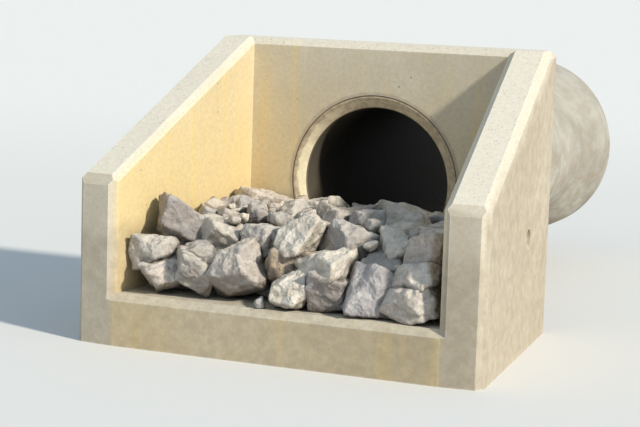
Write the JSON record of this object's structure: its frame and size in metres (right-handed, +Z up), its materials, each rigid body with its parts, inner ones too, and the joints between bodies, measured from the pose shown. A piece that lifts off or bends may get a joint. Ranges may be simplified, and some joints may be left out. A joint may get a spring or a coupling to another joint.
{
  "type": "culvert headwall",
  "caption": "Concrete culvert headwall with sloping splayed wing walls, a round pipe mouth with a bevelled mortar ring, and broken stone on its apron.",
  "frame": {"origin": "middle of the base: on the flat underside, straight below the middle of the back wall's front face", "axes": "+X to the right as seen from the outlet, +Y upstream along the pipe, +Z up"},
  "size_m": [1.2204, 2.3664, 0.857],
  "materials": {
    "cast_concrete": "off-form concrete, cream grey, matt",
    "pipe_concrete": "spun concrete, grey, matt",
    "mortar": "trowelled cement mortar, matt",
    "anchor_steel": "galvanised, dull",
    "broken_stone": "quarried stone, rough"
  },
  "bodies": {
    "root": {"headwall_casting": "cast_concrete", "outlet_pipe": "pipe_concrete", "mouth_collar": "mortar", "joint_packing": "mortar", "rear_fillet": "mortar", "wall_anchor_left": "anchor_steel", "wall_anchor_right": "anchor_steel", "wing_anchor_left": "anchor_steel", "wing_anchor_right": "anchor_steel", "stone_bed": "broken_stone"}
  },
  "joints": []
}
